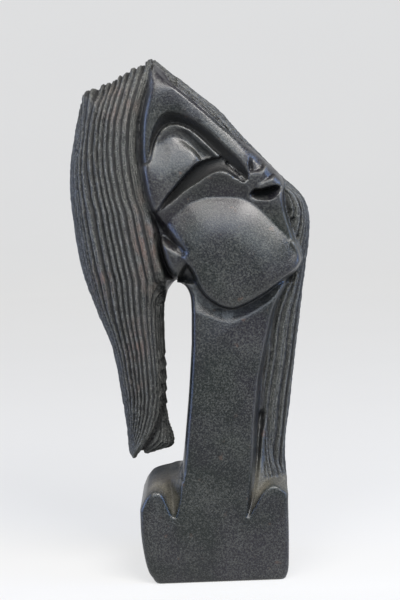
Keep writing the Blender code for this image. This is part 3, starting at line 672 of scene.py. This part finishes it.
class Shades:
    """Short ways to make and join one material's nodes."""

    def __init__(self, name):
        self.material = bpy.data.materials.new(name)
        self.material.use_nodes = True
        self.tree = self.material.node_tree
        self.shader = self.tree.nodes["Principled BSDF"]

    def join(self, value, socket):
        """Link a socket to this one, or set the constant on it."""
        if isinstance(value, bpy.types.NodeSocket):
            self.tree.links.new(value, socket)
        elif isinstance(value, tuple) and len(value) == 3 and len(socket.default_value) == 4:
            socket.default_value = (*value, 1)
        else:
            socket.default_value = value

    def attribute(self, name, output="Fac"):
        """What the mesh keeps under this name."""
        node = self.tree.nodes.new("ShaderNodeAttribute")
        node.attribute_name = name
        return node.outputs[output]

    def place(self, scale=(1, 1, 1), source=None):
        """Object coordinates, or another source, stretched by scale."""
        if source is None:
            source = self.tree.nodes.new("ShaderNodeTexCoord").outputs["Object"]
        node = self.tree.nodes.new("ShaderNodeMapping")
        self.join(source, node.inputs["Vector"])
        node.inputs["Scale"].default_value = scale
        return node.outputs["Vector"]

    def noise(self, vector, scale, detail=3.0, roughness=0.55):
        node = self.tree.nodes.new("ShaderNodeTexNoise")
        self.join(vector, node.inputs["Vector"])
        node.inputs["Scale"].default_value = scale
        node.inputs["Detail"].default_value = detail
        node.inputs["Roughness"].default_value = roughness
        return node.outputs["Fac"]

    def range(self, value, low, high, to_low=0.0, to_high=1.0):
        """The value's stretch from low to high, spread over another stretch."""
        node = self.tree.nodes.new("ShaderNodeMapRange")
        for socket, item in zip(node.inputs, (value, low, high, to_low, to_high)):
            self.join(item, socket)
        return node.outputs["Result"]

    def math(self, operation, first, second):
        node = self.tree.nodes.new("ShaderNodeMath")
        node.operation = operation
        self.join(first, node.inputs[0])
        self.join(second, node.inputs[1])
        return node.outputs[0]

    def mix(self, share, first, second):
        """A colour between two others. The node's colour sockets are told from its others by number."""
        node = self.tree.nodes.new("ShaderNodeMix")
        node.data_type = "RGBA"
        self.join(share, node.inputs["Factor"])
        self.join(first, node.inputs[6])
        self.join(second, node.inputs[7])
        return node.outputs[2]

    def bump(self, strength, distance, height, normal=None):
        """A normal roughened by a height."""
        node = self.tree.nodes.new("ShaderNodeBump")
        node.inputs["Strength"].default_value = strength
        node.inputs["Distance"].default_value = distance
        self.join(height, node.inputs["Height"])
        if normal is not None:
            self.join(normal, node.inputs["Normal"])
        return node.outputs["Normal"]


def stone():
    """Serpentine: near-black green-grey where polished, paler and dull where the chisel left it rough."""
    s = Shades("stone_polish_and_chisel")
    hair, groove = s.attribute("hair"), s.attribute("groove")
    edge_highlight, crease, cut, dull_painted_lit = (s.attribute(name) for name in ("edge_highlight", "crease", "cut", "dull_painted_lit"))
    strand = s.attribute("strand", "Vector")
    spot = s.place()
    # Near-black, used as painted shade in the hair's flutes and the face's deep cuts.
    shade = (0.003, 0.003, 0.003)

    specks = s.noise(spot, 620, 3, 0.7)
    clouds = s.range(s.noise(spot, 24, 4, 0.6), 0.42, 0.68)
    flecks = s.math("ADD", specks, s.math("MULTIPLY", clouds, 0.09))
    polished = s.mix(s.range(s.noise(spot, 14, 2), 0.4, 0.6), (0.002, 0.004, 0.003), (0.004, 0.003, 0.006))
    polished = s.mix(s.range(flecks, 0.48, 0.78), polished, (0.048, 0.049, 0.044))
    rust_spots = s.math("MULTIPLY", s.range(s.noise(spot, 90, 2), 0.68, 0.76), 0.4)
    polished = s.mix(rust_spots, polished, (0.085, 0.045, 0.028))

    streaks = s.noise(s.place((1, 0.09, 1), strand), 800, 3, 0.6)
    grain = s.noise(spot, 900, 3, 0.6)
    chiselled = s.mix(s.range(streaks, 0.40, 0.62), (0.004, 0.005, 0.005), (0.050, 0.052, 0.048))
    chiselled = s.mix(s.range(grain, 0.50, 0.66, 0.0, 0.8), chiselled, (0.15, 0.15, 0.135))
    rust = s.math("MULTIPLY", s.attribute("rust"), s.range(streaks, 0.30, 0.55, 0.1, 0.9))
    chiselled = s.mix(rust, chiselled, (0.085, 0.046, 0.034))
    # Painted shade: the bottoms of the hair's flutes and fine lines are made near-black.
    chiselled = s.mix(s.range(groove, 0.08, 0.42), chiselled, shade)

    colour = s.mix(hair, polished, chiselled)
    # Painted light: the shoulders' tops and the notches beside the neck are painted a lit tan.
    painted_lit_tan = s.mix(s.range(grain, 0.35, 0.65), (0.045, 0.040, 0.030), (0.17, 0.155, 0.12))
    colour = s.mix(s.math("MULTIPLY", dull_painted_lit, s.range(clouds, 0.0, 1.0, 0.35, 0.9)), colour, painted_lit_tan)
    # Painted highlight: sharp edges are made pale.
    colour = s.mix(s.math("MULTIPLY", edge_highlight, 0.45), colour, (0.20, 0.20, 0.185))
    # Painted shade: creases are made near-black.
    colour = s.mix(s.math("MULTIPLY", crease, 0.8), colour, (0.007, 0.007, 0.008))
    # Painted shade: the deep cuts of the face and the ear's crevice are made near-black.
    colour = s.mix(s.math("MULTIPLY", cut, 0.95), colour, shade)
    s.join(colour, s.shader.inputs["Base Color"])

    smooth = s.range(flecks, 0.44, 0.70, 0.29, 0.40)
    dull = s.range(streaks, 0.3, 0.7, 0.66, 0.50)
    not_hair = s.math("SUBTRACT", 1.0, hair)
    roughness = s.math("ADD", s.math("MULTIPLY", hair, dull), s.math("MULTIPLY", not_hair, smooth))
    roughness = s.math("ADD", roughness, s.math("MULTIPLY", crease, 0.25))
    roughness = s.math("MAXIMUM", roughness, s.math("MULTIPLY", s.math("MAXIMUM", cut, dull_painted_lit), 0.85))
    s.join(roughness, s.shader.inputs["Roughness"])

    relief = s.math("MULTIPLY", hair, s.math("ADD", streaks, s.math("MULTIPLY", grain, 0.6)))
    pits = s.bump(0.5, 0.0005, specks, s.bump(1.0, 0.0016, relief))
    s.join(pits, s.shader.inputs["Normal"])
    s.join(0.45, s.shader.inputs["Specular IOR Level"])
    return s.material


def backdrop():
    """A pale floor that sweeps up behind and beside the carving, open on the viewer's side. It is dimmer
    before the carving, so that the polished base mirrors less light."""
    flat, bend, top = 2.6, 1.2, 3.2
    profile = [(0.6, 0.0), (1.6, 0.0), (flat, 0.0)]
    for angle in np.radians(np.arange(7.5, 91, 7.5)):
        profile.append((flat + bend * math.sin(angle), bend - bend * math.cos(angle)))
    profile.append((flat + bend, top))
    ring = len(profile)
    flat_rings = 2
    turns = 96
    points = []
    for step in range(turns):
        angle = 2 * math.pi * step / turns
        points += [(r * math.cos(angle), r * math.sin(angle), z) for r, z in profile]
    middle = len(points)
    points.append((0, 0, 0))
    faces = []
    for step in range(turns):
        a, b = step * ring, (step + 1) % turns * ring
        faces.append((middle, a, b))
        open_side = math.sin(2 * math.pi * (step + 0.5) / turns) < -0.35
        last = flat_rings if open_side else ring - 1
        faces += [(a + i, a + i + 1, b + i + 1, b + i) for i in range(last)]
    mesh = bpy.data.meshes.new("studio_sweep")
    mesh.from_pydata(points, [], faces)
    mesh.polygons.foreach_set("use_smooth", np.ones(len(mesh.polygons), bool))
    s = Shades("studio_paper")
    paper = s.mix(s.range(s.noise(s.place(), 3, 3), 0.3, 0.7), (0.165, 0.165, 0.165), (0.175, 0.175, 0.172))
    s.join(paper, s.shader.inputs["Base Color"])
    s.join(0.9, s.shader.inputs["Roughness"])
    s.join((1.0, 0.995, 0.98), s.shader.inputs["Emission Color"])
    along = s.tree.nodes.new("ShaderNodeSeparateXYZ")
    s.join(s.place(), along.inputs["Vector"])
    glow = s.range(along.outputs["Y"], -0.50, -0.08, 0.28, 0.61)
    s.join(glow, s.shader.inputs["Emission Strength"])
    mesh.materials.append(s.material)
    sweep = bpy.data.objects.new("studio_sweep", mesh)
    bpy.context.scene.collection.objects.link(sweep)


def softbox(name, at, width, height, power, colour):
    """A soft rectangular light that the camera doesn't see."""
    light = bpy.data.lights.new(name, "AREA")
    light.shape = "RECTANGLE"
    light.size = width
    light.size_y = height
    light.energy = power
    light.color = colour
    lamp = bpy.data.objects.new(name, light)
    lamp.location = at
    lamp.visible_camera = False
    lamp.rotation_euler = (Vector(LIT_POINT) - Vector(at)).to_track_quat("-Z", "Y").to_euler()
    bpy.context.scene.collection.objects.link(lamp)


def lighting():
    """Two warm lights above and before the carving, a broad cool one behind the viewer, a blue one at each
    side, and a dim world."""
    softbox("key", (0.45, -0.75, 1.15), 0.7, 0.5, 25, WARM_WHITE)
    softbox("fill", (-0.45, -0.75, 1.15), 0.7, 0.5, 11, WARM_WHITE)
    softbox("room", (-0.2, -2.7, 1.35), 2.4, 1.2, 55, (0.80, 0.90, 1.0))
    softbox("left_window", (-2.2, -0.1, 0.45), 1.2, 1.2, 34, (0.34, 0.50, 1.0))
    softbox("right_window", (2.2, -0.6, 0.9), 1.0, 1.2, 40, (0.3, 0.5, 1.0))
    world = bpy.data.worlds.new("room")
    world.use_nodes = True
    background = world.node_tree.nodes["Background"]
    background.inputs["Color"].default_value = (0.86, 0.88, 0.92, 1)
    background.inputs["Strength"].default_value = 0.10
    bpy.context.scene.world = world
    bpy.context.scene.view_settings.view_transform = "Standard"


def camera():
    """The viewpoint of the picture: level with the eye, looking a little down, and rolled with the block."""
    data = bpy.data.cameras.new("camera")
    data.sensor_width = SENSOR
    data.lens = SENSOR * FOCAL_LENGTH
    eye = bpy.data.objects.new("camera", data)
    bpy.context.scene.collection.objects.link(eye)
    tilt = Euler((math.radians(VIEW_TILT), 0, 0)).to_matrix().to_4x4()
    lean = Matrix.Translation((AXIS_SHIFT, 0, 0)) @ Matrix.Rotation(LEAN, 4, "Y")
    eye.matrix_world = lean @ Matrix.Translation(VIEW_FROM) @ tilt
    bpy.context.scene.camera = eye


carving()
backdrop()
lighting()
camera()
